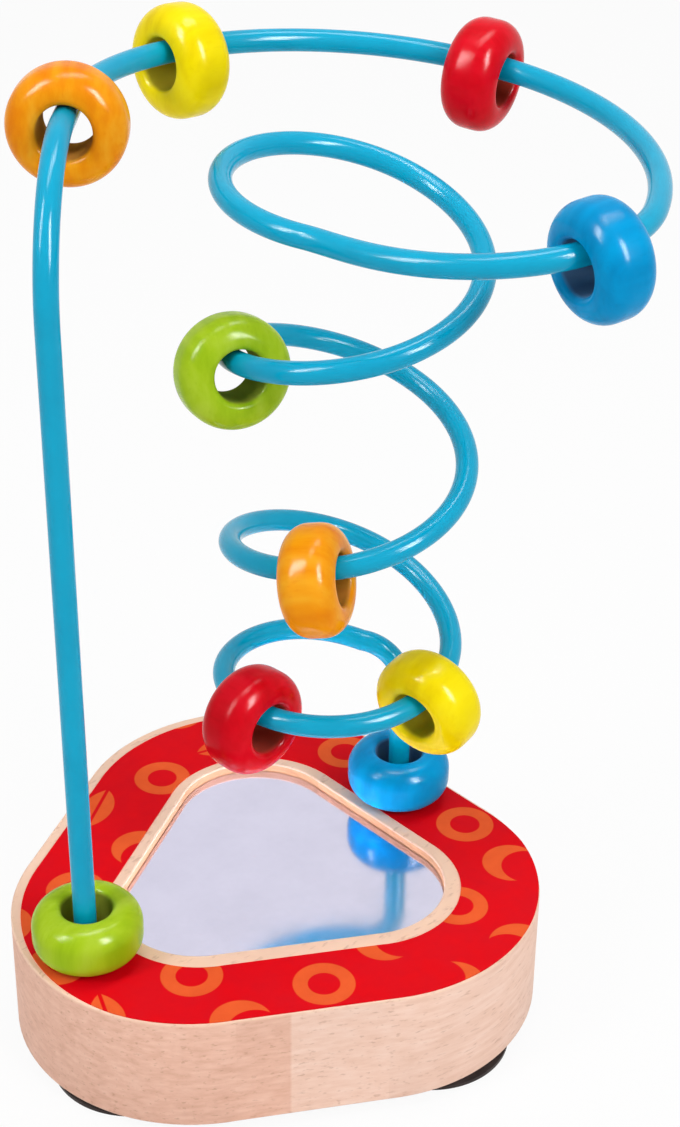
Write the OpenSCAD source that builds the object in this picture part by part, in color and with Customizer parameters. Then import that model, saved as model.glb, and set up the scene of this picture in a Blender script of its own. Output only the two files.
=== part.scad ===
// Bead maze: wooden beads on one bent, coated steel wire, which stands in a
// rounded triangular wooden base with a sunk mirror and three suction cups.
// Millimetres, +Z up. The origin is at the base's centre on the standing
// surface. The wire's leg stands in the corner at -X and its coil ends at +X.

/* [Base block] */
// Radius of the base's three rounded corners
corner_r = 43.5; // [38:0.5:50]
// Radius of the circle that the centres of the corner arcs lie on
corner_centre_r = 22.8; // [20:0.2:26]
// Thickness of the base block
base_t = 30; // [26:1:40]

/* [Mirror] */
// Corner radius of the recess that the mirror lies in
recess_r = 19.6; // [16:0.2:22]
// How far the recess lies off the base's centre along X
recess_shift_x = 0.5; // [-1:0.1:1]
// How far the recess lies off the base's centre along Y
recess_shift_y = -1; // [-2:0.1:1]
// Depth of the mirror's face below the base's top
mirror_sink = 2.5; // [1:0.5:4]
// Thickness of the acrylic mirror
mirror_t = 2; // [1:0.5:3]
// Thickness of the adhesive pad under the mirror
pad_t = 0.5; // [0.3:0.1:1]
// Distance from the mirror's edge to the pad's edge
pad_inset = 3; // [1:0.5:6]
// Clearance between the mirror's edge and the recess
mirror_clear = 0.2; // [0.1:0.1:0.5]

/* [Print] */
// Thickness of the printed film on the base's top
print_t = 0.3; // [0.2:0.1:0.6]
// How much smaller the print is than the base's top, all round
print_inset = 1; // [0.5:0.1:3]
// Least bare edge between the print and the base's side
print_edge = 0.2; // [0.1:0.1:0.5]
// How far the print lies off the base's centre along X
print_shift_x = 0.1; // [-1:0.1:1]
// How far the print lies off the base's centre along Y
print_shift_y = -2.1; // [-2.5:0.1:1]
// Bare wood between the recess and the print's window, where both are centred
rim_w = 3.5; // [2.5:0.1:5]

/* [Wire ends] */
// Diameter of the coated wire
wire_d = 5.2; // [4:0.2:6]
// Distance from the base's edge to the middle of each wire hole
hole_inset = 11.7; // [9:0.1:14]
// Depth of the two wire holes in the base
socket_depth = 20; // [12:1:22]
// Clearance round the wire in its holes
socket_clear = 0.1; // [0.05:0.05:0.2]
// Clearance round the wire where it passes through the print
print_clear = 0.5; // [0.3:0.1:1]

/* [Wire leg and top loop] */
// Height of the top loop above the base's top
loop_z = 185.5; // [165:0.5:205]
// Radius of the bend between the leg and the top loop
leg_bend_r = 31; // [24:0.5:36]
// Lean of the leg along X, from its hole to its bend
leg_lean_x = 2; // [0:0.1:3]
// Lean of the leg along Y, from its hole to its bend
leg_lean_y = 4.3; // [0:0.1:5]
// Radius of the top loop
top_loop_r = 61; // [54:0.5:64]
// Shift along X from the coil's upper axis to the top loop's centre
top_shift_x = -4.3; // [-6:0.1:0]
// Shift along Y from the coil's upper axis to the top loop's centre
top_shift_y = -7.2; // [-9:0.1:0]
// How far the top loop falls on its way round to the coil
top_fall = 19.2; // [12:0.2:24]

/* [Wire coil] */
// Radius of the coil's uppermost turn
coil_r_high = 29.2; // [26:0.1:32]
// Radius of the coil's lowest turn
coil_r_low = 24.8; // [22:0.1:28]
// Lean of the coil's axis along X, from its foot to its top
coil_lean_x = 6.5; // [0:0.1:9]
// Lean of the coil's axis along Y, from its foot to its top
coil_lean_y = 3.2; // [0:0.1:6]
// Height above the base's top where the coil ends and bends down
low_z = 43.8; // [38:0.2:52]
// Climb of the lowest loop over one turn
low_pitch = 15.8; // [8:0.2:24]
// How much higher or lower than level a turn runs on its two sides
coil_tilt_z = 2.6; // [0:0.1:4]
// How much the lowest loop opens out before its end
low_open = 3.9; // [0:0.1:6]
// How much the wire draws in again at its end
end_tuck = 7.2; // [4:0.1:9]
// Radius of the bend into the end hole
end_bend_r = 10.2; // [8:0.1:12]

/* [Beads] */
// Outer diameter of a bead
bead_d = 25.5; // [22:0.5:27]
// Length of a bead along its bore
bead_t = 13; // [11:0.5:15]
// How much wider a bead's bore is than the wire
bead_play = 6.4; // [5:0.2:7]
// Rounding of a bead's outer edges
bead_round = 5.2; // [3:0.1:5.4]
// Rounding of a bead's bore at its mouths
mouth_round = 1.5; // [0.5:0.1:1.6]
// Gap between a hanging bead's bore and the wire above it
bead_gap = 0.6; // [0.5:0.05:0.9]
// Gap between a standing bead and the print below it
stand_gap = 0.3; // [0.2:0.05:0.5]
// Offset along X of the standing bead on the leg
leg_bead_x = 1.6; // [0:0.1:1.8]
// Offset along Y of the standing bead on the leg
leg_bead_y = 1.6; // [0:0.1:1.8]

/* [Suction cups] */
// Diameter of a cup's rim
cup_d = 39; // [34:1:40]
// Radius of the circle that the cups' centres lie on
cup_ring_r = 45.5; // [40:0.5:46]
// How far the cups hold the base off the table
cup_drop = 3; // [2:0.5:4]
// Thickness of a cup's rim at its edge
cup_lip = 0.9; // [0.6:0.1:1.4]
// Width of the flat rim that meets the table
cup_rim_w = 1.5; // [1:0.1:3]
// Diameter of a cup's neck
cup_neck_d = 23; // [18:1:26]
// Thickness of a cup's flange at its neck
cup_wall = 0.8; // [0.5:0.1:1.2]
// Diameter of the pocket in the base round a cup's neck
pocket_d = 30; // [27:1:32]
// Depth of the pocket in the base
pocket_depth = 6; // [4:0.5:7]

/* [Cup screws] */
// Diameter of a screw's shank
screw_d = 4; // [3:0.5:5]
// Diameter of a screw's pan head
head_d = 8; // [7:0.5:9]
// Height of a screw's head
head_t = 2.2; // [1.6:0.1:2.6]
// Length of each arm-to-arm slot of the cross in a screw's head
slot_l = 4.4; // [3:0.2:5]
// Width of the slots
slot_w = 1; // [0.8:0.1:1.2]
// Depth of the slots
slot_depth = 1.4; // [0.8:0.1:1.6]
// Depth of the screw's hold in the wood above the cup
screw_hold = 12; // [8:1:14]
// Clearance round the shank and the head, and past the tip
screw_clear = 0.2; // [0.1:0.05:0.4]

/* [Hidden] */
// Overrun of cuts past the faces they open
cut = 1;
// How far the base's straight sides lie inside its corner arcs, so that they cross
side_inset = 0.05;
// Least flat left on a bead's end between its two roundings
end_flat = 0.2;
// Whole and part turns in degrees, and whole turns of the wire below its top loop
full_turn = 360;
third_turn = full_turn / 3;
quarter_turn = full_turn / 4;
whole_turns = 4;
// Turn angles of the wire are in degrees from +X and fall towards its end.
// Where the top loop starts to close in to the coil
spiral_from_angle = 1381;
// Where it has closed in
spiral_to_angle = 1285;
// Where the coil starts to fall at its full pitch
climb_from_angle = 1157;
// Half the span over which that fall sets in
climb_ease_angle = 58;
// Where the lowest loop levels out
level_from_angle = 300;
// Half the span over which it levels out
level_ease_angle = 60;
// Where the lowest loop starts to open out
open_from_angle = 278;
// Span over which it opens out
open_span_angle = 150;
// Where the wire starts to draw in to its end
tuck_from_angle = 190;
// Where the turns end and the wire bends down
end_angle = 32;
// Span over which the coil's axis leans
lean_span_angle = 1200;
// Where the coil has its upper and its lower radius
coil_top_angle = 1260;
coil_foot_angle = 60;
// Direction in which each turn runs highest
tilt_to_angle = 92;
// Angle step along the wire's swept tube, and its sides
step_angle = 9;
wire_sides = 10;
// Facets of the round shapes
round_fn = 96;
// Bead stations: turn angles, and a share of the run between bend and loop
orange_run_share = 0.6;
yellow_top_angle = 1530;
red_top_angle = 1461;
blue_top_angle = 1361;
green_coil_angle = 879;
orange_coil_angle = 573;
yellow_low_angle = 279;
red_low_angle = 182;
// Angles of the corner that the leg stands in and of the three cups
leg_corner_angle = 180;
cup_leg_angle = 185;
cup_left_angle = 74;
cup_right_angle = -74;

// Heights and radii that follow from the sizes above
base_top = cup_drop + base_t;
print_top = base_top + print_t;
recess_depth = mirror_sink + mirror_t + pad_t;
mirror_r = recess_r - mirror_clear;
wire_r = wire_d / 2;
bore_r = (wire_d + bead_play) / 2;
bead_r = bead_d / 2;
bead_edge_r = min(bead_round, bead_r - bore_r - mouth_round - end_flat);
pocket_top = cup_drop + pocket_depth;
hole_r = wire_r + socket_clear;
print_hole_r = wire_r + print_clear;
screw_hole_r = screw_d / 2 + screw_clear;
head_hole_r = head_d / 2 + screw_clear;

// The hollow under a cup: part of a ball that meets the rim's inner edge and leaves
// the flange its wall at the neck
cup_r = cup_d / 2;
neck_r = cup_neck_d / 2;
hollow_r = cup_r - cup_rim_w;
hollow_at_neck = cup_drop - cup_wall;
ball_drop = (hollow_r ^ 2 - neck_r ^ 2 - hollow_at_neck ^ 2) / (2 * hollow_at_neck);
ball_r = norm([hollow_r, ball_drop]);
cup_hollow = ball_r - ball_drop;

// Plan places of the wire's two holes and of the leg's top
leg_foot = [hole_inset - corner_centre_r - corner_r, 0];
end_foot = [corner_centre_r / 2 + corner_r - hole_inset, 0];
leg_top = leg_foot + [leg_lean_x, leg_lean_y];

// A unit vector, a plan point at an angle, the wire's heading at a turn angle,
// and a plan point lifted to a height
function unit(v) = v / norm(v);
function polar(r, a) = [r * cos(a), r * sin(a)];
function ahead(a) = [sin(a), -cos(a)];
function at_height(p, z) = [p.x, p.y, z];

// 0 below 0, 1 above 1, and a smooth step between
function smooth(t) = let (u = min(max(t, 0), 1)) u * u * (3 - 2 * u);

// 0 below -w, x above w, and a parabola that joins them between
function soft_ramp(x, w) = x < -w ? 0 : x > w ? x : (x + w) ^ 2 / (4 * w);

// The coil's radius at a turn angle, with the lowest loop's swell and tuck
function coil_radius(a) =
    coil_r_low + (coil_r_high - coil_r_low) * (a - coil_foot_angle) / (coil_top_angle - coil_foot_angle)
    + low_open * smooth((open_from_angle - a) / open_span_angle)
    - end_tuck * smooth((tuck_from_angle - a) / (tuck_from_angle - end_angle));

// The coil's axis leans, and its foot is set so that the wire meets its end hole
coil_lean = [coil_lean_x, coil_lean_y];
coil_foot = end_foot - end_bend_r * ahead(end_angle) - polar(coil_radius(end_angle), end_angle)
    - coil_lean * end_angle / lean_span_angle;
function coil_axis(a) = coil_foot + coil_lean * min(a, lean_span_angle) / lean_span_angle;

// The top loop's centre, and the angle where the run from the leg touches it
top_centre = coil_foot + coil_lean + [top_shift_x, top_shift_y];
leg_arm = leg_top - top_centre;
start_angle = atan2(leg_arm.y, leg_arm.x) - acos(top_loop_r / norm(leg_arm)) + whole_turns * full_turn;
run_start = leg_top + leg_bend_r * ahead(start_angle);
run_end = top_centre + polar(top_loop_r, start_angle);

// The coil's pitch follows from the heights of the top loop and the coil's end
coil_pitch = full_turn * (loop_z - top_fall - low_z
    - low_pitch * (level_from_angle - end_angle) / full_turn + coil_tilt_z * cos(end_angle - tilt_to_angle))
    / (climb_from_angle - level_from_angle);

// 0 on the top loop and 1 on the coil
function closing(a) = smooth((spiral_from_angle - a) / (spiral_from_angle - spiral_to_angle));
function turn_height(a) = base_top + loop_z
    - top_fall * smooth((start_angle - a) / (start_angle - spiral_to_angle))
    - coil_pitch / full_turn * soft_ramp(climb_from_angle - a, climb_ease_angle)
    + (coil_pitch - low_pitch) / full_turn * soft_ramp(level_from_angle - a, level_ease_angle)
    + coil_tilt_z * closing(a) * cos(a - tilt_to_angle);
function turn_point(a) = let (
    s = closing(a),
    middle = top_centre * (1 - s) + coil_axis(a) * s,
    r = top_loop_r * (1 - s) + coil_radius(a) * s
) at_height(middle + polar(r, a), turn_height(a));

// The route as [point, turn angle] rows: leg, bend, turns, end bend, end leg
bend_z = base_top + loop_z - leg_bend_r;
end_z = turn_height(end_angle);
end_start = turn_point(end_angle);
turn_count = ceil((start_angle - end_angle) / step_angle);
route = concat(
    [[at_height(leg_foot, base_top - socket_depth), start_angle],
     [at_height(leg_foot, base_top), start_angle]],
    [for (b = [0 : step_angle : quarter_turn])
        [at_height(leg_top + leg_bend_r * (1 - cos(b)) * ahead(start_angle), bend_z + leg_bend_r * sin(b)),
         start_angle]],
    [for (i = [0 : turn_count])
        let (a = start_angle + (end_angle - start_angle) * i / turn_count) [turn_point(a), a]],
    [for (b = [step_angle : step_angle : quarter_turn])
        [at_height(end_start + end_bend_r * sin(b) * ahead(end_angle), end_z - end_bend_r * (1 - cos(b))),
         end_angle]],
    [[at_height(end_foot, base_top - socket_depth), end_angle]]);
last = len(route) - 1;

// The wire's least gap to itself, between points more than a third of a turn apart
apart = ceil(third_turn / step_angle);
wire_gap = min([for (i = [0 : last - apart]) for (j = [i + apart : last])
    norm(route[i][0] - route[j][0])]) - wire_d;
echo(wire_gap = wire_gap);

// One ring of the tube, square to the route and level across it
function ring(i) = let (
    p = route[i][0],
    along = unit(route[min(i + 1, last)][0] - route[max(i - 1, 0)][0]),
    side = unit(cross([0, 0, 1], at_height(ahead(route[i][1]), 0))),
    across = unit(side - (side * along) * along),
    rise = cross(along, across)
) [for (k = [0 : wire_sides - 1])
    let (f = full_turn * k / wire_sides) p + wire_r * (cos(f) * across + sin(f) * rise)];

// A triangle of three corner arcs of radius r and straight sides between them
module rounded_triangle(r) {
    corners = [for (k = [0 : 2]) leg_corner_angle + k * third_turn];
    polygon([for (a = corners) for (s = [-1, 1])
        polar(corner_centre_r, a) + polar(r - side_inset, a + s * third_turn / 2)]);
    for (a = corners) translate(polar(corner_centre_r, a)) circle(r = r, $fn = round_fn);
}

module at_recess() {
    translate([recess_shift_x, recess_shift_y, base_top - recess_depth]) children();
}

module at_cup(angle) {
    translate(at_height(polar(cup_ring_r, angle), 0)) children();
}

module base_block() {
    color([0.90, 0.76, 0.62]) difference() {
        translate([0, 0, cup_drop]) linear_extrude(base_t) rounded_triangle(corner_r);
        at_recess() linear_extrude(recess_depth + cut) rounded_triangle(recess_r);
        for (p = [leg_foot, end_foot])
            translate(at_height(p, base_top - socket_depth))
                cylinder(r = hole_r, h = socket_depth + cut, $fn = round_fn);
        for (a = [cup_leg_angle, cup_left_angle, cup_right_angle]) at_cup(a) {
            translate([0, 0, cup_drop - cut])
                cylinder(d = pocket_d, h = pocket_depth + cut, $fn = round_fn);
            cylinder(r = screw_hole_r, h = pocket_top + screw_hold + screw_clear, $fn = round_fn);
        }
    }
}

module top_print() {
    color([0.86, 0.03, 0.09]) difference() {
        translate([0, 0, base_top]) linear_extrude(print_t) difference() {
            intersection() {
                translate([print_shift_x, print_shift_y]) rounded_triangle(corner_r - print_inset);
                rounded_triangle(corner_r - print_edge);
            }
            translate([print_shift_x, print_shift_y]) rounded_triangle(recess_r + rim_w);
        }
        for (p = [leg_foot, end_foot])
            translate(at_height(p, base_top - cut))
                cylinder(r = print_hole_r, h = print_t + 2 * cut, $fn = round_fn);
    }
}

module mirror_pad() {
    color([0.93, 0.93, 0.90]) at_recess() linear_extrude(pad_t) rounded_triangle(mirror_r - pad_inset);
}

module mirror_sheet() {
    color([0.84, 0.83, 0.90]) at_recess() translate([0, 0, pad_t])
        linear_extrude(mirror_t) rounded_triangle(mirror_r);
}

module wire() {
    rings = [for (i = [0 : last]) each ring(i)];
    n = wire_sides;
    walls = [for (i = [0 : last - 1]) for (k = [0 : n - 1])
        let (a = i * n + k, b = i * n + (k + 1) % n)
        each [[a, a + n, b], [b, a + n, b + n]]];
    foot_cap = [[for (k = [0 : n - 1]) k]];
    end_cap = [[for (k = [n - 1 : -1 : 0]) last * n + k]];
    color([0.0, 0.63, 0.82]) polyhedron(points = rings, faces = concat(walls, foot_cap, end_cap));
}

// The waste outside a rounded edge at [x, z], turned to its corner by sx and sz
module edge_waste(x, z, r, sx, sz) {
    translate([x, z]) scale([sx, sz]) translate([-r, -r]) difference() {
        square(r + cut);
        circle(r = r, $fn = round_fn);
    }
}

// A bead at the origin, with its bore along Z
module bead_shape() {
    rotate_extrude($fn = round_fn) difference() {
        translate([bore_r, -bead_t / 2]) square([bead_r - bore_r, bead_t]);
        for (s = [-1, 1]) {
            edge_waste(bead_r, s * bead_t / 2, bead_edge_r, 1, s);
            edge_waste(bore_r, s * bead_t / 2, mouth_round, -1, s);
        }
    }
}

// A bead that hangs on the wire at a point, with its bore along the wire
module hung_bead(point, along) {
    down = unit(along.z * along - [0, 0, 1]);
    translate(point + (bore_r - wire_r - bead_gap) * down)
        rotate([0, acos(along.z), atan2(along.y, along.x)]) bead_shape();
}

module turn_bead(a) {
    half_step = step_angle / 2;
    hung_bead(turn_point(a), unit(turn_point(a - half_step) - turn_point(a + half_step)));
}

module standing_bead(p) {
    translate(at_height(p, print_top + stand_gap + bead_t / 2)) bead_shape();
}

module bead_green_leg() { color([0.60, 0.80, 0.10]) standing_bead(leg_foot + [leg_bead_x, leg_bead_y]); }

module bead_orange_bend() {
    spot = run_start + (run_end - run_start) * orange_run_share;
    color([0.96, 0.55, 0.10])
        hung_bead(at_height(spot, base_top + loop_z), at_height(ahead(start_angle), 0));
}

module bead_yellow_top() { color([0.97, 0.85, 0.05]) turn_bead(yellow_top_angle); }
module bead_red_top() { color([0.82, 0.04, 0.12]) turn_bead(red_top_angle); }
module bead_blue_top() { color([0.0, 0.50, 0.80]) turn_bead(blue_top_angle); }
module bead_green_coil() { color([0.60, 0.80, 0.10]) turn_bead(green_coil_angle); }
module bead_orange_coil() { color([0.96, 0.55, 0.10]) turn_bead(orange_coil_angle); }
module bead_yellow_low() { color([0.97, 0.85, 0.05]) turn_bead(yellow_low_angle); }
module bead_red_low() { color([0.82, 0.04, 0.12]) turn_bead(red_low_angle); }
module bead_blue_foot() { color([0.0, 0.50, 0.80]) standing_bead(end_foot); }

// A suction cup: a flared rim below the base and a neck in the base's pocket
module cup(angle) {
    color([0.16, 0.11, 0.10]) at_cup(angle) difference() {
        rotate_extrude($fn = round_fn) polygon([
            [0, 0], [cup_r, 0], [cup_r, cup_lip], [neck_r, cup_drop],
            [neck_r, pocket_top], [0, pocket_top]]);
        translate([0, 0, -ball_drop]) sphere(r = ball_r, $fn = round_fn);
        cylinder(r = head_hole_r, h = cup_hollow, $fn = round_fn);
        cylinder(r = screw_hole_r, h = pocket_top + cut, $fn = round_fn);
    }
}

module cup_leg() { cup(cup_leg_angle); }
module cup_left() { cup(cup_left_angle); }
module cup_right() { cup(cup_right_angle); }

// A wood screw with a cross slot, up through the cup into the base
module cup_screw(angle) {
    head_z = cup_hollow - head_t;
    color([0.72, 0.72, 0.70]) at_cup(angle) translate([0, 0, head_z]) difference() {
        union() {
            cylinder(d = head_d, h = head_t, $fn = round_fn);
            cylinder(d = screw_d, h = pocket_top + screw_hold - head_z, $fn = round_fn);
        }
        for (slot = [[slot_l, slot_w], [slot_w, slot_l]])
            translate([0, 0, -cut]) linear_extrude(cut + slot_depth) square(slot, center = true);
    }
}

module cup_screw_leg() { cup_screw(cup_leg_angle); }
module cup_screw_left() { cup_screw(cup_left_angle); }
module cup_screw_right() { cup_screw(cup_right_angle); }

base_block();
top_print();
mirror_pad();
mirror_sheet();
wire();
bead_green_leg();
bead_orange_bend();
bead_yellow_top();
bead_red_top();
bead_blue_top();
bead_green_coil();
bead_orange_coil();
bead_yellow_low();
bead_red_low();
bead_blue_foot();
cup_leg();
cup_left();
cup_right();
cup_screw_leg();
cup_screw_left();
cup_screw_right();
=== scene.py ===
import math

import bpy
import numpy as np
from mathutils import Matrix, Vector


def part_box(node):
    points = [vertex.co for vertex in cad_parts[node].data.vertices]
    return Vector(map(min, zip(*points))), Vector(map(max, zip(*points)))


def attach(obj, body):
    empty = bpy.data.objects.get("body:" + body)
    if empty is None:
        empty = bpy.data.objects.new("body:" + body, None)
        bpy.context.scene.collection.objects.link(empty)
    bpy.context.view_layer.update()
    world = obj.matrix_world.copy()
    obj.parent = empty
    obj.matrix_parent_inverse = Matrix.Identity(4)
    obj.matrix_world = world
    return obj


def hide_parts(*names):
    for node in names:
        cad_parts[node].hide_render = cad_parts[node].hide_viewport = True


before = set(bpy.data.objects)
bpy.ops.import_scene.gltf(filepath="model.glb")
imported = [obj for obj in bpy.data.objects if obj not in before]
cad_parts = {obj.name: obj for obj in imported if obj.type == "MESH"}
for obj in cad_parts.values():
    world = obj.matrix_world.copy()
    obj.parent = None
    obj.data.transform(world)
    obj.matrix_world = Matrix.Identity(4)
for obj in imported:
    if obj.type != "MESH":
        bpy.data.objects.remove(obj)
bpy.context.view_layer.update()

# Base block: a rounded triangle of pale beech, glued up from two boards whose
# grain runs from the leg's corner to the far side, then sawn out and sanded. It
# keeps its exact solid, with eased edges, its top painted paler as painted light,
# and its recess walls painted browner, for the routed wood's tint and as painted shade.
edge_ease = 0.0005
weld_reach = 0.00001
glue_line_y = -0.045
glue_line_w = 0.0003
recess_reach, recess_depth = 0.048, 0.0055
painted_top_light_share, routed_tint_and_shade_share, pore_share = 0.75, 0.8, 0.4
base_low, base_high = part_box("base_block")
base_top = base_high.z


def screen(red, green, blue):
    """A linear colour from screen values of 0 to 255: the sRGB curve undone."""
    share = np.array([red, green, blue]) / 255
    linear = np.where(share <= 0.04045, share / 12.92, ((share + 0.055) / 1.055) ** 2.4)
    return (*linear.tolist(), 1.0)


def add(tree, kind, inputs=None, **settings):
    """A new shader node: settings are its own, inputs are linked from sockets or set to values."""
    made = tree.nodes.new(kind)
    for name, value in settings.items():
        setattr(made, name, value)
    for name, value in (inputs or {}).items():
        if isinstance(value, bpy.types.NodeSocket):
            tree.links.new(value, made.inputs[name])
        else:
            made.inputs[name].default_value = value
    return made


def tones(tree, mask, stops):
    """A colour ramp over a mask: stops are pairs of place and linear colour."""
    ramp = add(tree, "ShaderNodeValToRGB", {"Fac": mask})
    while len(ramp.color_ramp.elements) < len(stops):
        ramp.color_ramp.elements.new(0.5)
    for element, (place, colour) in zip(ramp.color_ramp.elements, stops):
        element.position = place
        element.color = colour
    return ramp.outputs["Color"]


def level(tree, mask, low, high, start=0.0, stop=1.0):
    """A mask stretched in a straight line from low..high to start..stop, and held at the ends."""
    made = add(tree, "ShaderNodeMapRange", {
        "Value": mask, "From Min": low, "From Max": high, "To Min": start, "To Max": stop})
    return made.outputs["Result"]


def mixed(tree, mask, first, second):
    """The first colour where the mask is 0, the second where it is 1, and a mix between."""
    return add(tree, "ShaderNodeMix", {0: mask, 6: first, 7: second}, data_type="RGBA").outputs[2]


def sums(tree, operation, first, second=0.0):
    """A Math node of two values or sockets, as its result."""
    return add(tree, "ShaderNodeMath", {0: first, 1: second}, operation=operation).outputs[0]


def in_plan(tree, vector):
    """A vector with its height taken out."""
    flattened = add(tree, "ShaderNodeVectorMath", {
        0: vector, 1: (1.0, 1.0, 0.0)}, operation="MULTIPLY")
    return flattened.outputs[0]


def reach(tree, vector, x=0.0, y=0.0):
    """The distance of a vector from the point x, y of its own plane."""
    gap = add(tree, "ShaderNodeVectorMath", {0: vector, 1: (x, y, 0.0)}, operation="SUBTRACT")
    return add(tree, "ShaderNodeVectorMath", {0: gap.outputs[0]}, operation="LENGTH").outputs["Value"]


def effect(name, inputs, outputs):
    """An empty shader node group with named sockets, its input node and its output node."""
    group = bpy.data.node_groups.new(name, "ShaderNodeTree")
    group.interface.new_socket("Vector", in_out="INPUT", socket_type="NodeSocketVector")
    for socket, value in inputs.items():
        made = group.interface.new_socket(socket, in_out="INPUT", socket_type="NodeSocketFloat")
        made.default_value = value
    for socket in outputs:
        group.interface.new_socket(socket, in_out="OUTPUT", socket_type="NodeSocketFloat")
    return group, add(group, "NodeGroupInput"), add(group, "NodeGroupOutput")


def new_finish(name):
    """A material with a Principled shader: the material, its tree and the shader."""
    material = bpy.data.materials.new(name)
    material.use_nodes = True
    return material, material.node_tree, material.node_tree.nodes["Principled BSDF"]


def dress(node, material):
    """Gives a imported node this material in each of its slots."""
    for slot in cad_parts[node].material_slots:
        slot.material = material


# The figure of the timber, which the beads share: fine layers of tone and short
# dark pores, both drawn out along the vector's X and less so along its Y.
timber, timber_in, timber_out = effect(
    "timber_figure", {"Band Scale": 700.0, "Pore Scale": 1500.0}, ["Bands", "Pores"])
band_draw, pore_draw = (0.12, 0.40, 1.0), (0.20, 0.60, 1.0)
band_lie = add(timber, "ShaderNodeMapping", {
    "Vector": timber_in.outputs["Vector"], "Scale": band_draw})
pore_lie = add(timber, "ShaderNodeMapping", {
    "Vector": timber_in.outputs["Vector"], "Scale": pore_draw})
band_noise = add(timber, "ShaderNodeTexNoise", {
    "Vector": band_lie.outputs["Vector"], "Scale": timber_in.outputs["Band Scale"],
    "Detail": 4.0, "Roughness": 0.55, "Distortion": 0.12})
pore_noise = add(timber, "ShaderNodeTexNoise", {
    "Vector": pore_lie.outputs["Vector"], "Scale": timber_in.outputs["Pore Scale"], "Detail": 2.0})
timber.links.new(level(timber, band_noise.outputs["Fac"], 0.3, 0.7), timber_out.inputs["Bands"])
timber.links.new(level(timber, pore_noise.outputs["Fac"], 0.60, 0.72), timber_out.inputs["Pores"])

beech, tree, shader = new_finish("beech")
place = add(tree, "ShaderNodeTexCoord").outputs["Object"]
figure = add(tree, "ShaderNodeGroup", node_tree=timber)
tree.links.new(place, figure.inputs["Vector"])
pale_board = tones(tree, figure.outputs["Bands"], [
    (0.0, screen(236, 196, 175)), (0.5, screen(243, 206, 187)), (1.0, screen(248, 215, 198))])
rosy_board = tones(tree, figure.outputs["Bands"], [
    (0.0, screen(225, 176, 153)), (0.5, screen(234, 187, 165)), (1.0, screen(241, 198, 177))])
across = add(tree, "ShaderNodeSeparateXYZ", {"Vector": place})
second_board = level(tree, across.outputs["Y"], glue_line_y, glue_line_y + glue_line_w)
boards = mixed(tree, second_board, pale_board, rosy_board)
# Painted light: the top face is painted paler than the boards below it.
painted_top_light = level(
    tree, across.outputs["Z"], base_top - 2 * edge_ease, base_top - edge_ease / 2, 0.0, painted_top_light_share)
boards_with_painted_top_light = mixed(tree, painted_top_light, boards, screen(250, 214, 188))
# Painted shade: the recess walls get a darker brown, partly the routed wood's own tint and partly shade.
from_axis = reach(tree, in_plan(tree, place))
inside = level(tree, from_axis, recess_reach, recess_reach + edge_ease, routed_tint_and_shade_share, 0.0)
from_half = sums(tree, "ABSOLUTE", sums(
    tree, "SUBTRACT", across.outputs["Z"], base_top - edge_ease - recess_depth / 2))
routed_tint_and_shade = sums(tree, "MULTIPLY", inside, sums(tree, "LESS_THAN", from_half, recess_depth / 2))
timber_with_painted_light = mixed(tree, routed_tint_and_shade, boards_with_painted_top_light, screen(198, 144, 100))
pore_depth = level(tree, figure.outputs["Pores"], 0.0, 1.0, 0.0, pore_share)
tree.links.new(mixed(tree, pore_depth, timber_with_painted_light, screen(188, 138, 112)), shader.inputs["Base Color"])
tree.links.new(level(tree, figure.outputs["Bands"], 0.0, 1.0, 0.48, 0.60), shader.inputs["Roughness"])
open_pores = add(tree, "ShaderNodeBump", {
    "Height": level(tree, figure.outputs["Pores"], 0.0, 1.0, 1.0, 0.0),
    "Strength": 0.3, "Distance": 0.0002})
tree.links.new(open_pores.outputs["Normal"], shader.inputs["Normal"])
shader.inputs["Specular IOR Level"].default_value = 0.08

dress("base_block", beech)
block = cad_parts["base_block"]
block.modifiers.new("weld", "WELD").merge_threshold = weld_reach
ease = block.modifiers.new("ease", "BEVEL")
ease.width = edge_ease
ease.segments = 2
ease.limit_method = "ANGLE"
ease.use_clamp_overlap = False
ease.harden_normals = True

# Suction cups: three dark rubber cups, each moulded in one piece with its neck,
# which sits in a pocket of the base; their rims show as crescents below its edge.
cup_sides = ("leg", "left", "right")


def noise(tree, vector, scale, detail):
    """A noise of a scale and a detail, as its value from 0 to 1."""
    return add(tree, "ShaderNodeTexNoise", {
        "Vector": vector, "Scale": scale, "Detail": detail}).outputs["Fac"]


def mottled(name, scale, detail, dark, light, sleek, rough):
    """A finish that follows one noise: its colour from dark to light, its roughness from sleek to rough."""
    material, tree, shader = new_finish(name)
    place = add(tree, "ShaderNodeTexCoord").outputs["Object"]
    mottle = noise(tree, place, scale, detail)
    tree.links.new(tones(tree, mottle, [
        (0.3, screen(*dark)), (0.7, screen(*light))]), shader.inputs["Base Color"])
    tree.links.new(level(tree, mottle, 0.3, 0.7, sleek, rough), shader.inputs["Roughness"])
    return material, tree, shader, place


rubber, tree, shader, place = mottled(
    "cup_rubber", scale=130.0, detail=5.0,
    dark=(34, 24, 23), light=(58, 44, 41), sleek=0.38, rough=0.58)
moulded = noise(tree, place, scale=1800.0, detail=3.0)
skin = add(tree, "ShaderNodeBump", {"Height": moulded, "Strength": 0.15, "Distance": 0.0001})
tree.links.new(skin.outputs["Normal"], shader.inputs["Normal"])
shader.inputs["Specular IOR Level"].default_value = 0.2
for side in cup_sides:
    dress("cup_" + side, rubber)

# Cup screws: plated steel wood screws with pan heads, one through each cup. Only
# their heads show, from below.
plated, _, shader, _ = mottled(
    "screw_steel", scale=2500.0, detail=4.0,
    dark=(172, 170, 160), light=(206, 205, 198), sleek=0.24, rough=0.42)
shader.inputs["Metallic"].default_value = 1.0
for side in cup_sides:
    dress("cup_screw_" + side, plated)

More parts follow.
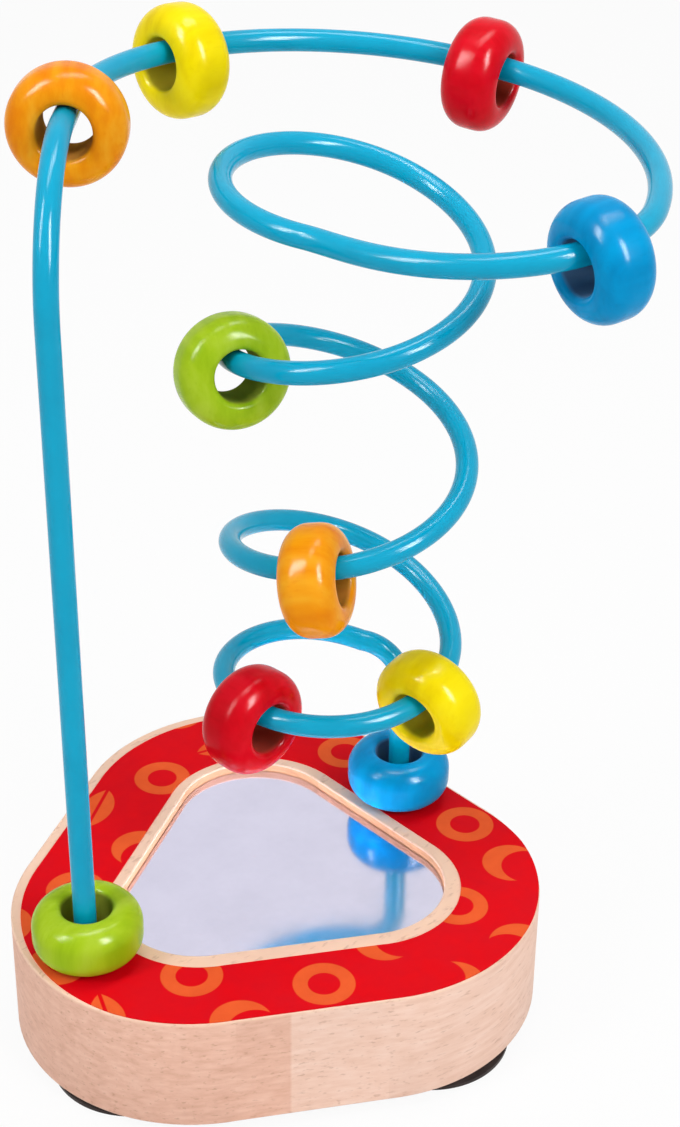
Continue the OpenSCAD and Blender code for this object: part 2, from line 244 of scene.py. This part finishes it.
# Mirror: an acrylic safety mirror laid in the recess, on a foam pad with glue on
# both faces. Acrylic is never quite flat, so what it shows wavers a little.
foam, _, _, _ = mottled(
    "adhesive_pad", scale=1500.0, detail=2.0,
    dark=(224, 222, 212), light=(243, 242, 236), sleek=0.75, rough=0.95)
dress("mirror_pad", foam)

# The marks of handling, which every glossy finish here shares: smudges that dull
# the gloss, and a slow ripple of the surface.
handling, handling_in, handling_out = effect(
    "handling_marks", {"Smudge Scale": 90.0, "Ripple Scale": 60.0}, ["Smudge", "Ripple"])
smudge_noise = add(handling, "ShaderNodeTexNoise", {
    "Vector": handling_in.outputs["Vector"], "Scale": handling_in.outputs["Smudge Scale"],
    "Detail": 5.0, "Roughness": 0.6})
handling_ripple = noise(
    handling, handling_in.outputs["Vector"], handling_in.outputs["Ripple Scale"], detail=1.0)
handling.links.new(
    level(handling, smudge_noise.outputs["Fac"], 0.35, 0.7), handling_out.inputs["Smudge"])
handling.links.new(handling_ripple, handling_out.inputs["Ripple"])


def handled(tree, shader, vector, clean, dull, ripple, smudge_scale=90.0, ripple_scale=60.0, matt=0.0):
    """Roughness from clean to dull by the smudges, at least matt, and a ripple of a depth in metres."""
    marks = add(tree, "ShaderNodeGroup", node_tree=handling)
    tree.links.new(vector, marks.inputs["Vector"])
    marks.inputs["Smudge Scale"].default_value = smudge_scale
    marks.inputs["Ripple Scale"].default_value = ripple_scale
    gloss = level(tree, marks.outputs["Smudge"], 0.0, 1.0, clean, dull)
    tree.links.new(sums(tree, "MAXIMUM", gloss, matt), shader.inputs["Roughness"])
    wave = add(tree, "ShaderNodeBump", {"Height": marks.outputs["Ripple"], "Distance": ripple})
    tree.links.new(wave.outputs["Normal"], shader.inputs["Normal"])
    return marks.outputs["Smudge"]


silvered, tree, shader = new_finish("acrylic_mirror")
place = add(tree, "ShaderNodeTexCoord").outputs["Object"]
smudge = handled(tree, shader, place, clean=0.10, dull=0.13, ripple=0.00001)
tree.links.new(tones(tree, smudge, [
    (0.0, screen(216, 213, 232)), (1.0, screen(210, 207, 226))]), shader.inputs["Base Color"])
shader.inputs["Metallic"].default_value = 1.0
dress("mirror_sheet", silvered)

# Print: a red lacquer film on the base's top, cut to a window round the mirror,
# with an all-over pattern of orange rings, leaves and crescents, each turned at random.
motif_pitch = 0.0215
motif_wander = 0.16
ink_edge = 0.00012
ring_r, ring_w = 0.0054, 0.0034
leaf_r, leaf_off = 0.0105, 0.0066
vein_w = 0.0009
moon_r, bite_r, bite_off = 0.0070, 0.0062, 0.0040


def inked(tree, depth):
    """1 where a depth in metres is inside a shape and 0 outside, with a fine soft edge."""
    return level(tree, depth, -ink_edge, ink_edge)


printed, tree, shader = new_finish("red_print")
place = add(tree, "ShaderNodeTexCoord").outputs["Object"]
flat = in_plan(tree, place)
cell = add(tree, "ShaderNodeTexVoronoi", {
    "Vector": flat, "Scale": 1 / motif_pitch, "Randomness": motif_wander}, voronoi_dimensions="2D")
draw = add(tree, "ShaderNodeSeparateColor", {"Color": cell.outputs["Color"]})
offset = add(tree, "ShaderNodeVectorMath", {
    0: flat, 1: cell.outputs["Position"]}, operation="SUBTRACT").outputs[0]
turn = sums(tree, "MULTIPLY", draw.outputs["Red"], math.tau)
motif = add(tree, "ShaderNodeVectorRotate", {
    "Vector": offset, "Angle": turn}, rotation_type="Z_AXIS").outputs[0]
from_middle = reach(tree, motif)
ring = inked(tree, sums(
    tree, "SUBTRACT", ring_w / 2, sums(tree, "ABSOLUTE", sums(tree, "SUBTRACT", from_middle, ring_r))))
two_arcs = sums(tree, "MAXIMUM", reach(tree, motif, y=leaf_off), reach(tree, motif, y=-leaf_off))
motif_y = add(tree, "ShaderNodeSeparateXYZ", {"Vector": motif}).outputs["Y"]
off_vein = sums(tree, "SUBTRACT", sums(tree, "ABSOLUTE", motif_y), vein_w / 2)
leaf = inked(tree, sums(tree, "MINIMUM", sums(tree, "SUBTRACT", leaf_r, two_arcs), off_vein))
moon = inked(tree, sums(tree, "MINIMUM", sums(tree, "SUBTRACT", moon_r, from_middle),
                        sums(tree, "SUBTRACT", reach(tree, motif, x=bite_off), bite_r)))
pick = draw.outputs["Green"]
chosen = [sums(tree, "MULTIPLY", ring, sums(tree, "LESS_THAN", pick, 1 / 3)),
          sums(tree, "MULTIPLY", leaf, sums(tree, "LESS_THAN", sums(
              tree, "ABSOLUTE", sums(tree, "SUBTRACT", pick, 1 / 2)), 1 / 6)),
          sums(tree, "MULTIPLY", moon, sums(tree, "GREATER_THAN", pick, 2 / 3))]
ink = sums(tree, "MAXIMUM", sums(tree, "MAXIMUM", chosen[0], chosen[1]), chosen[2])
smudge = handled(
    tree, shader, place, clean=0.38, dull=0.50, ripple=0.000005,
    smudge_scale=140.0, ripple_scale=400.0)
ground = tones(tree, smudge, [(0.0, screen(226, 2, 18)), (1.0, screen(218, 2, 22))])
motif_tone = tones(tree, smudge, [(0.0, screen(240, 97, 46)), (1.0, screen(231, 88, 40))])
tree.links.new(mixed(tree, ink, ground, motif_tone), shader.inputs["Base Color"])
shader.inputs["Specular IOR Level"].default_value = 0.03
dress("top_print", printed)

# Wire: one length of steel rod with a glossy blue coating, bent cold: up the leg,
# over its bend, round the wide top loop, down the coil and into its second hole.
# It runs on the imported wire's route and replaces it, because that tube has flat sides.
wire_r = 0.0026
hole_inset = 0.0117
socket_depth = 0.020
loop_z = base_top + 0.1855
leg_bend_r = 0.031
leg_lean = np.array([0.0020, 0.0043])
top_loop_r = 0.061
top_shift = np.array([-0.0043, -0.0072])
top_fall = 0.0192
coil_r_high, coil_r_low = 0.0292, 0.0248
coil_lean = np.array([0.0065, 0.0032])
low_z = base_top + 0.0438
low_pitch = 0.0158
coil_tilt = 0.0026
low_open = 0.0039
end_tuck = 0.0072
end_bend_r = 0.0102
spiral_from, spiral_to = 1381.0, 1285.0
climb_from, climb_ease = 1157.0, 58.0
level_from, level_ease = 300.0, 60.0
open_from, open_span = 278.0, 150.0
tuck_from, turn_end = 190.0, 32.0
coil_top_turn, coil_foot_turn = 1260.0, 60.0
lean_span = 1200.0
tilt_to = 92.0
full_turn, quarter_turn, whole_turns = 360.0, 90.0, 4
turn_step = 1.25
socket_steps, leg_steps, run_steps = 4, 60, 20
leg_bend_steps, end_bend_steps = 40, 24
wire_sides = 36


def cosine(angle):
    """The cosine of an angle in degrees."""
    return np.cos(np.radians(angle))


def sine(angle):
    """The sine of an angle in degrees."""
    return np.sin(np.radians(angle))


def polar(radius, angle):
    """Plan points at a radius and an angle from +X."""
    return np.stack([radius * cosine(angle), radius * sine(angle)], -1)


def ahead(angle):
    """The wire's heading in plan at a turn angle: square to the radius, with the angle falling."""
    return np.stack([sine(angle), -cosine(angle)], -1)


def smooth(share):
    """0 below 0, 1 above 1, and 3u^2 - 2u^3 between."""
    held = np.clip(share, 0, 1)
    return held * held * (3 - 2 * held)


def soft_ramp(x, width):
    """0 below -width, x above width, and the parabola (x + width)^2 / 4 width that joins them."""
    return np.where(x < -width, 0, np.where(x > width, x, (x + width) ** 2 / (4 * width)))


def coil_radius(angle):
    """The coil narrows evenly downwards; its lowest loop opens out and tucks in at its end."""
    climb = (angle - coil_foot_turn) / (coil_top_turn - coil_foot_turn)
    return (coil_r_low + (coil_r_high - coil_r_low) * climb
            + low_open * smooth((open_from - angle) / open_span)
            - end_tuck * smooth((tuck_from - angle) / (tuck_from - turn_end)))


leg_foot = np.array([base_low.x + hole_inset, 0.0])
end_foot = np.array([base_high.x - hole_inset, 0.0])
leg_top = leg_foot + leg_lean
coil_foot = (end_foot - end_bend_r * ahead(turn_end) - polar(coil_radius(turn_end), turn_end)
             - coil_lean * turn_end / lean_span)
top_centre = coil_foot + coil_lean + top_shift
leg_arm = leg_top - top_centre
arm_length = np.hypot(*leg_arm)
turn_start = (math.degrees(math.atan2(leg_arm[1], leg_arm[0]))
              - math.degrees(math.acos(top_loop_r / arm_length)) + whole_turns * full_turn)
low_climb = low_pitch * (level_from - turn_end) / full_turn
coil_drop = loop_z - top_fall - low_z - low_climb + coil_tilt * cosine(turn_end - tilt_to)
coil_pitch = full_turn * coil_drop / (climb_from - level_from)


def turn_points(angle):
    """The wire on its turns: the top loop closes in to the leaning coil, and its height falls."""
    closed = smooth((spiral_from - angle) / (spiral_from - spiral_to))
    coil_axis = coil_foot + coil_lean * (np.minimum(angle, lean_span) / lean_span)[:, None]
    middle = top_centre * (1 - closed[:, None]) + coil_axis * closed[:, None]
    radius = top_loop_r * (1 - closed) + coil_radius(angle) * closed
    height = (loop_z - top_fall * smooth((turn_start - angle) / (turn_start - spiral_to))
              - coil_pitch / full_turn * soft_ramp(climb_from - angle, climb_ease)
              + (coil_pitch - low_pitch) / full_turn * soft_ramp(level_from - angle, level_ease)
              + coil_tilt * closed * cosine(angle - tilt_to))
    return np.column_stack([middle + polar(radius, angle), height])


def straight(start, stop, count):
    """Points evenly along a straight stretch, without its last."""
    return start + (stop - start) * np.linspace(0, 1, count, endpoint=False)[:, None]


bend_z = loop_z - leg_bend_r
bend = np.linspace(0, quarter_turn, leg_bend_steps)
bend_points = np.column_stack([
    leg_top + leg_bend_r * (1 - cosine(bend))[:, None] * ahead(turn_start),
    bend_z + leg_bend_r * sine(bend)])
turns = np.linspace(turn_start, turn_end, math.ceil((turn_start - turn_end) / turn_step))
turned = turn_points(turns)
end_bend = np.linspace(0, quarter_turn, end_bend_steps)[1:]
end_points = np.column_stack([
    turned[-1, :2] + end_bend_r * sine(end_bend)[:, None] * ahead(turn_end),
    turned[-1, 2] - end_bend_r * (1 - cosine(end_bend))])
socket_z = base_top - socket_depth
stretches = [
    (straight(np.append(leg_foot, socket_z), np.append(leg_foot, base_top), socket_steps), turn_start),
    (straight(np.append(leg_foot, base_top), bend_points[0], leg_steps), turn_start),
    (bend_points, turn_start),
    (straight(bend_points[-1], turned[0], run_steps)[1:], turn_start),
    (turned, turns),
    (end_points, turn_end),
    (straight(end_points[-1], np.append(end_foot, socket_z), run_steps)[1:], turn_end),
    (np.append(end_foot, socket_z)[None], turn_end)]
route = np.concatenate([points for points, _ in stretches])
headings = np.concatenate([np.broadcast_to(angle, len(points)) for points, angle in stretches])


def units(vectors):
    """Each row of an array of vectors at length 1."""
    return vectors / np.linalg.norm(vectors, axis=-1, keepdims=True)


along = units(np.concatenate([route[1:], route[-1:]]) - np.concatenate([route[:1], route[:-1]]))


def tube(path, along, level_across, radius, sides):
    """A circle carried square to a path: point + radius * (cos f * across + sin f * rise)."""
    across = units(level_across - (level_across * along).sum(-1, keepdims=True) * along)
    rise = np.cross(along, across)
    f = np.linspace(0, full_turn, sides, endpoint=False)[None, :, None]
    return path[:, None] + radius * (cosine(f) * across[:, None] + sine(f) * rise[:, None])


def woven(name, grid, ring_rows):
    """A closed mesh over a grid that joins round its columns; its rows join too, or get flat ends."""
    rows, columns = grid.shape[:2]
    index = np.arange(rows * columns).reshape(rows, columns)
    beside = np.roll(index, -1, axis=1)
    upto = rows if ring_rows else rows - 1
    after = np.roll(index, -1, axis=0)[:upto], np.roll(beside, -1, axis=0)[:upto]
    quads = np.stack([index[:upto], beside[:upto], after[1], after[0]], -1).reshape(-1, 4).tolist()
    ends = [] if ring_rows else [index[0, ::-1].tolist(), index[-1].tolist()]
    mesh = bpy.data.meshes.new(name)
    mesh.from_pydata(grid.reshape(-1, 3).tolist(), [], quads + ends)
    mesh.shade_smooth()
    piece = bpy.data.objects.new(name, mesh)
    bpy.context.scene.collection.objects.link(piece)
    return piece


level_across = np.column_stack([cosine(headings), sine(headings), np.zeros(len(headings))])
wire_piece = woven("bent_wire", tube(route, along, level_across, wire_r, wire_sides), ring_rows=False)
coated, tree, shader = new_finish("coated_wire")
place = add(tree, "ShaderNodeTexCoord").outputs["Object"]
smudge = handled(tree, shader, place, clean=0.10, dull=0.14, ripple=0.000001, smudge_scale=120.0)
tree.links.new(tones(tree, smudge, [
    (0.0, screen(0, 167, 205)), (1.0, screen(0, 160, 198))]), shader.inputs["Base Color"])
shader.inputs["Specular IOR Level"].default_value = 0.18
wire_piece.data.materials.append(coated)
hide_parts("wire")
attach(wire_piece, "stand")

# Beads: short barrels of turned wood with wide bores, two of each colour, dipped
# in gloss lacquer that lies thin in the bore and lets a little grain show. Deep in
# the bore the colour is painted a darker brown, partly for that thin coat over bare
# wood and partly as painted shade. Each hangs on the wire by its bore, but for the
# two that stand on the print at the wire's ends.
bore_r = 0.0058
bead_round = 0.0052
mouth_round = 0.0015
bore_bare_and_shade_reach = 0.0004
bore_bare_and_shade_share, pore_show = 0.5, 0.3
bead_sides = 96
arc_steps = 12
near_y = 0.9
stand_low, stand_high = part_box("bead_green_leg")
bead_r = (stand_high.x - stand_low.x) / 2
bead_half = (stand_high.z - stand_low.z) / 2
lacquers = {
    "green": [(146, 182, 18), (164, 196, 30), (176, 204, 52)],
    "orange": [(235, 130, 4), (244, 152, 14), (248, 170, 36)],
    "yellow": [(236, 208, 0), (248, 224, 6), (253, 232, 24)],
    "red": [(200, 4, 20), (214, 6, 26), (224, 14, 36)],
    "blue": [(0, 134, 192), (0, 148, 207), (0, 157, 216)]}
places = {
    "green": ("leg", "coil"), "orange": ("bend", "coil"), "yellow": ("top", "low"),
    "red": ("top", "low"), "blue": ("top", "foot")}
standing = ("bead_green_leg", "bead_blue_foot")


def lacquer(colour, shades):
    """Gloss lacquer over turned wood: the shades follow the grain, which runs along the bore; the bore's
    wall is painted darker brown, partly for its thin coat and partly as painted shade.
    """
    material, tree, shader = new_finish("lacquer_" + colour)
    turned_at = add(tree, "ShaderNodeAttribute", attribute_name="turned").outputs["Vector"]
    figure = add(tree, "ShaderNodeGroup", node_tree=timber)
    tree.links.new(turned_at, figure.inputs["Vector"])
    figure.inputs["Band Scale"].default_value = 260.0
    figure.inputs["Pore Scale"].default_value = 1100.0
    paint = tones(tree, figure.outputs["Bands"], [
        (place, screen(*shade)) for place, shade in zip((0.0, 0.5, 1.0), shades)])
    pore_depth = level(tree, figure.outputs["Pores"], 0.0, 1.0, 0.0, pore_show)
    skin = mixed(tree, pore_depth, paint, screen(*shades[0]))
    # The bore's wall is painted darker brown: partly the thin coat over bare wood, partly painted shade.
    in_bore = add(tree, "ShaderNodeAttribute", attribute_name="in_bore").outputs["Fac"]
    thin_coat_and_shade = level(tree, in_bore, 0.0, 1.0, 0.0, bore_bare_and_shade_share)
    tree.links.new(mixed(tree, thin_coat_and_shade, skin, screen(112, 72, 38)), shader.inputs["Base Color"])
    handled(tree, shader, turned_at, clean=0.14, dull=0.24, ripple=0.00001,
            smudge_scale=150.0, ripple_scale=200.0, matt=in_bore)
    shader.inputs["Specular IOR Level"].default_value = 0.06
    return material


def bead_profile():
    """The wall's outline as radius and height: a quarter arc at each of its four corners, once round."""
    quarter = np.linspace(0, quarter_turn, arc_steps)
    corners = [(bead_r, -1, bead_round, -90), (bead_r, 1, bead_round, 0),
               (bore_r, 1, mouth_round, 90), (bore_r, -1, mouth_round, 180)]
    arcs = [polar(bend_r, start + quarter)
            + (edge - math.copysign(bend_r, edge - bore_r - bend_r), end * (bead_half - bend_r))
            for edge, end, bend_r, start in corners]
    return np.concatenate(arcs)


def revolved(profile, centre, axis):
    """A profile turned round an axis: centre + r * (cos f * side + sin f * other) + height * axis."""
    other_way = (0.0, 1.0, 0.0) if abs(axis[1]) < near_y else (1.0, 0.0, 0.0)
    side = units(np.cross(axis, other_way))
    other = np.cross(axis, side)
    f = np.linspace(0, full_turn, bead_sides, endpoint=False)[None, :, None]
    out, up = profile[:, None, :1], profile[:, None, 1:]
    heights = np.broadcast_to(up, out.shape[:1] + f.shape[1:])
    local = np.concatenate([heights, out * cosine(f), out * sine(f)], -1)
    return centre + local @ np.stack([axis, side, other]), local


for colour, shades in lacquers.items():
    finish = lacquer(colour, shades)
    for spot in places[colour]:
        node = f"bead_{colour}_{spot}"
        low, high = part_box(node)
        centre = np.array((low + high) / 2)
        nearest = np.linalg.norm(route - centre, axis=1).argmin()
        axis = np.array([0.0, 0.0, 1.0]) if node in standing else along[nearest]
        grid, local = revolved(bead_profile(), centre, axis)
        piece = woven(f"{colour}_{spot}", grid, ring_rows=True)
        turned_from = piece.data.attributes.new("turned", "FLOAT_VECTOR", "POINT")
        turned_from.data.foreach_set("vector", (local.reshape(-1, 3) + centre).ravel())
        # Mask for the bare wood and the painted shade: 1 at the bore's wall, fading out within a short
        # reach of it.
        bore_bare_and_shade = piece.data.attributes.new("in_bore", "FLOAT", "POINT")
        from_bore = np.hypot(local[..., 1], local[..., 2]) - bore_r
        bore_bare_and_shade.data.foreach_set("value", np.clip(1 - from_bore / bore_bare_and_shade_reach, 0, 1).ravel())
        piece.data.materials.append(finish)
        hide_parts(node)
        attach(piece, node)

# Stage: a white floor, an even white surround, and two tall soft lamps beside the
# camera with a broad one overhead, as in a small product studio. Each lamp has a
# bright card in its place that only gloss shows. From below, the floor is clear.
floor_half = 6.0
floor_tone = screen(212, 212, 212)
floor_white = 0.93
surround_light = 0.34


def seen_directly(tree):
    """1 for rays from the camera and for those that gloss and glass send out, else 0."""
    path = add(tree, "ShaderNodeLightPath")
    glossy = sums(tree, "MAXIMUM", path.outputs["Is Glossy Ray"], path.outputs["Is Transmission Ray"])
    return sums(tree, "MAXIMUM", path.outputs["Is Camera Ray"], glossy)


floor_mesh = bpy.data.meshes.new("floor")
floor_mesh.from_pydata(
    [(x * floor_half, y * floor_half, 0.0) for x, y in ((-1, -1), (1, -1), (1, 1), (-1, 1))],
    [], [(0, 1, 2, 3)])
floor = bpy.data.objects.new("floor", floor_mesh)
bpy.context.scene.collection.objects.link(floor)
paper, tree, shader = new_finish("floor_paper")
shader.inputs["Base Color"].default_value = floor_tone
shader.inputs["Roughness"].default_value = 0.9
shine = add(tree, "ShaderNodeEmission")
blend = add(tree, "ShaderNodeMixShader", {
    0: sums(tree, "MULTIPLY", seen_directly(tree), floor_white),
    1: shader.outputs[0], 2: shine.outputs[0]})
one_sided = add(tree, "ShaderNodeMixShader", {
    0: add(tree, "ShaderNodeNewGeometry").outputs["Backfacing"], 1: blend.outputs[0],
    2: add(tree, "ShaderNodeBsdfTransparent").outputs[0]})
tree.links.new(one_sided.outputs[0], tree.nodes["Material Output"].inputs["Surface"])
floor_mesh.materials.append(paper)

world = bpy.data.worlds.new("surround")
bpy.context.scene.world = world
world.use_nodes = True
sky = world.node_tree.nodes["Background"]
tree = world.node_tree
tree.links.new(level(tree, seen_directly(tree), 0.0, 1.0, surround_light, 1.0), sky.inputs["Strength"])
sky.inputs["Color"].default_value = (1.0, 1.0, 1.0, 1.0)

# The camera's plan heading, fall and roll in degrees, and its focal length in
# pixels of the photograph, which is 1127 pixels tall.
heading, fall, roll = 47.4, 29.868, 0.76
focal_px, frame_px = 2222.5, 1127
sensor_mm = 36.0
camera_at = np.array([-0.28063, -0.32929, 0.36504])
forward = np.append(polar(cosine(fall), heading), -sine(fall))
right = np.append(polar(1.0, heading - quarter_turn), 0.0)
upward = np.cross(right, forward)
lens = bpy.data.cameras.new("camera")
lens.sensor_width = sensor_mm
lens.lens = focal_px / frame_px * sensor_mm
camera = bpy.data.objects.new("camera", lens)
columns = (cosine(roll) * right + sine(roll) * upward,
           cosine(roll) * upward - sine(roll) * right, -forward)
camera.matrix_world = Matrix.Translation(camera_at) @ Matrix(columns).transposed().to_4x4()
bpy.context.scene.collection.objects.link(camera)
bpy.context.scene.camera = camera

# Each lamp's place to the right of, onward from and above its target, in the camera's
# heading, then its width, length and power. A card's power is a share of its lamp's.
lamp_target = np.array([0.0, 0.0, 0.12])
flat_forward = np.append(polar(1.0, heading), 0.0)
lamps = {
    "right_softbox": (0.75, -0.75, 0.75, 0.34, 0.70, 7.4),
    "left_softbox": (-0.80, -0.50, 0.85, 0.28, 0.70, 5.6),
    "overhead": (0.10, 0.15, 1.30, 1.10, 0.30, 6.2)}
card_share, card_spread = 1.6, 70.0
for name, (to_right, onward, above, width, length, power) in lamps.items():
    spot = lamp_target + to_right * right + onward * flat_forward + np.array([0.0, 0.0, above])
    back = units(spot - lamp_target)
    sideways = units(np.cross((0.0, 1.0, 0.0) if name == "overhead" else (0.0, 0.0, 1.0), back))
    for kind, energy in (("lamp", power), ("card", power * card_share)):
        light = bpy.data.lights.new(f"{name}_{kind}", "AREA")
        light.shape = "RECTANGLE"
        light.size, light.size_y = width, length
        light.energy = energy
        lamp = bpy.data.objects.new(f"{name}_{kind}", light)
        if kind == "card":
            light.spread = math.radians(card_spread)
            lamp.visible_diffuse = False
        lamp.matrix_world = Matrix.Translation(spot) @ Matrix(
            (sideways, np.cross(back, sideways), back)).transposed().to_4x4()
        bpy.context.scene.collection.objects.link(lamp)

bpy.context.scene.view_settings.view_transform = "Standard"
